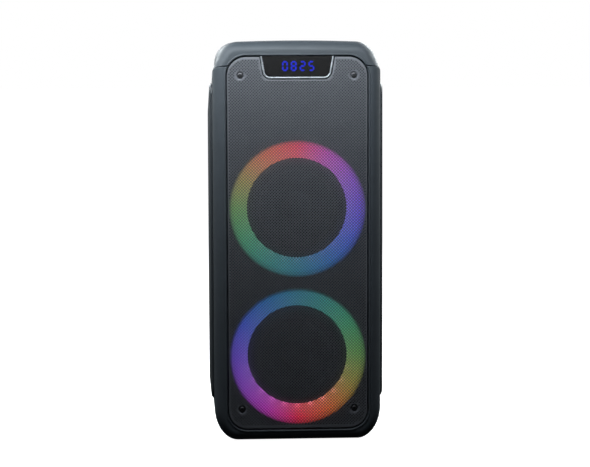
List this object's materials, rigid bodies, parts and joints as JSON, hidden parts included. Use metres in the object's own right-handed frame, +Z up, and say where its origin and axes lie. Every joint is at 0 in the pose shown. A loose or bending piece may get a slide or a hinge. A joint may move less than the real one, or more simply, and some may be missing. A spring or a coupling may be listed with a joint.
{
  "type": "party speaker",
  "caption": "Tall rounded portable party speaker: two woofers ringed by light diffusers behind one mesh grille, display tab at the top, sunk control tray and rear grip bar.",
  "frame": {"origin": "on the floor under the centre of the bounding box, where the feet stand", "axes": "+Z up, the grille faces -Y, +X to the right as seen from in front"},
  "size_m": [0.2496, 0.245, 0.58],
  "materials": {
    "shell": "satin moulded ABS, dark slate grey",
    "side_trim": "semi-gloss moulded ABS, dark slate grey",
    "mesh": "powder-coated steel sheet, perforated on the real object",
    "trim": "satin grey moulding",
    "smoke": "smoked acrylic, near black",
    "panel": "gloss black plate",
    "diffuser": "milky light-diffusing plastic",
    "circuit": "green circuit board with its components",
    "steel": "zinc-plated steel",
    "black_steel": "black-coated steel",
    "cone_paper": "pressed black paper pulp",
    "rubber": "black rubber",
    "ferrite": "sintered ferrite magnet",
    "coil_cloth": "resin-stiffened corrugated cloth",
    "control": "black moulded plastic",
    "battery": "shrink-wrapped cell pack"
  },
  "bodies": {
    "housing": {"amplifier_board": "circuit", "aux_jack": "control", "bass_port": "shell", "battery_pack": "battery", "cabinet": "shell", "carry_handle": "rubber", "connection_panel": "panel", "control_board": "circuit", "control_panel": "panel", "display_bezel": "trim", "display_module": "circuit", "display_window": "smoke", "foot_1": "rubber", "foot_2": "rubber", "foot_3": "rubber", "foot_4": "rubber", "front_baffle": "shell", "grille": "mesh", "grille_screw_1": "black_steel", "grille_screw_2": "black_steel", "grille_screw_3": "black_steel", "grille_screw_4": "black_steel", "led_board_lower": "circuit", "led_board_upper": "circuit", "led_diffuser_lower": "diffuser", "led_diffuser_upper": "diffuser", "mains_inlet": "control", "mic_jack_1": "control", "mic_jack_2": "control", "panel_screw_1": "black_steel", "panel_screw_2": "black_steel", "panel_screw_3": "black_steel", "panel_screw_4": "black_steel", "side_panel_left": "side_trim", "side_panel_right": "side_trim", "top_cover": "shell", "usb_socket": "steel", "woofer_basket_lower": "black_steel", "woofer_basket_upper": "black_steel", "woofer_magnet_lower": "ferrite", "woofer_magnet_upper": "ferrite", "woofer_spider_lower": "coil_cloth", "woofer_spider_upper": "coil_cloth", "woofer_surround_lower": "rubber", "woofer_surround_upper": "rubber", "woofer_yoke_lower": "steel", "woofer_yoke_upper": "steel"},
    "volume_knob": {"volume_knob": "control"},
    "mic_volume_knob": {"mic_volume_knob": "control"},
    "power_rocker": {"power_rocker": "control"},
    "button_power": {"button_power": "control"},
    "button_source": {"button_source": "control"},
    "button_light": {"button_light": "control"},
    "button_previous": {"button_previous": "control"},
    "button_play": {"button_play": "control"},
    "button_next": {"button_next": "control"},
    "upper_driver_moving": {"woofer_cone_upper": "cone_paper", "woofer_dust_cap_upper": "cone_paper"},
    "lower_driver_moving": {"woofer_cone_lower": "cone_paper", "woofer_dust_cap_lower": "cone_paper"}
  },
  "joints": [
    {"name": "volume_turn", "type": "hinge", "parent": "housing", "child": "volume_knob", "pos_m": [0, -0.0325, 0.5678], "axis": [0, 0, 1], "continuous": true},
    {"name": "mic_volume_turn", "type": "hinge", "parent": "housing", "child": "mic_volume_knob", "pos_m": [0.038, 0.1128, 0.258], "axis": [0, 1, 0], "range_deg": [-150, 150]},
    {"name": "power_switch", "type": "hinge", "parent": "housing", "child": "power_rocker", "pos_m": [0.034, 0.1088, 0.162], "axis": [1, 0, 0], "range_deg": [-18, 0]},
    {"name": "power_press", "type": "slide", "parent": "housing", "child": "button_power", "axis": [0, 0, -1], "range_m": [0, 0.001], "stiffness_N_per_m": 600, "springref_m": -0.0008},
    {"name": "source_press", "type": "slide", "parent": "housing", "child": "button_source", "axis": [0, 0, -1], "range_m": [0, 0.001], "stiffness_N_per_m": 600, "springref_m": -0.0008},
    {"name": "light_press", "type": "slide", "parent": "housing", "child": "button_light", "axis": [0, 0, -1], "range_m": [0, 0.001], "stiffness_N_per_m": 600, "springref_m": -0.0008},
    {"name": "previous_press", "type": "slide", "parent": "housing", "child": "button_previous", "axis": [0, 0, -1], "range_m": [0, 0.001], "stiffness_N_per_m": 600, "springref_m": -0.0008},
    {"name": "play_press", "type": "slide", "parent": "housing", "child": "button_play", "axis": [0, 0, -1], "range_m": [0, 0.001], "stiffness_N_per_m": 600, "springref_m": -0.0008},
    {"name": "next_press", "type": "slide", "parent": "housing", "child": "button_next", "axis": [0, 0, -1], "range_m": [0, 0.001], "stiffness_N_per_m": 600, "springref_m": -0.0008},
    {"name": "upper_cone_stroke", "type": "slide", "parent": "housing", "child": "upper_driver_moving", "axis": [0, -1, 0], "range_m": [-0.004, 0.004], "stiffness_N_per_m": 1500, "deforming": ["woofer_surround_upper", "woofer_spider_upper"]},
    {"name": "lower_cone_stroke", "type": "slide", "parent": "housing", "child": "lower_driver_moving", "axis": [0, -1, 0], "range_m": [-0.004, 0.004], "stiffness_N_per_m": 1500, "deforming": ["woofer_surround_lower", "woofer_spider_lower"]}
  ]
}
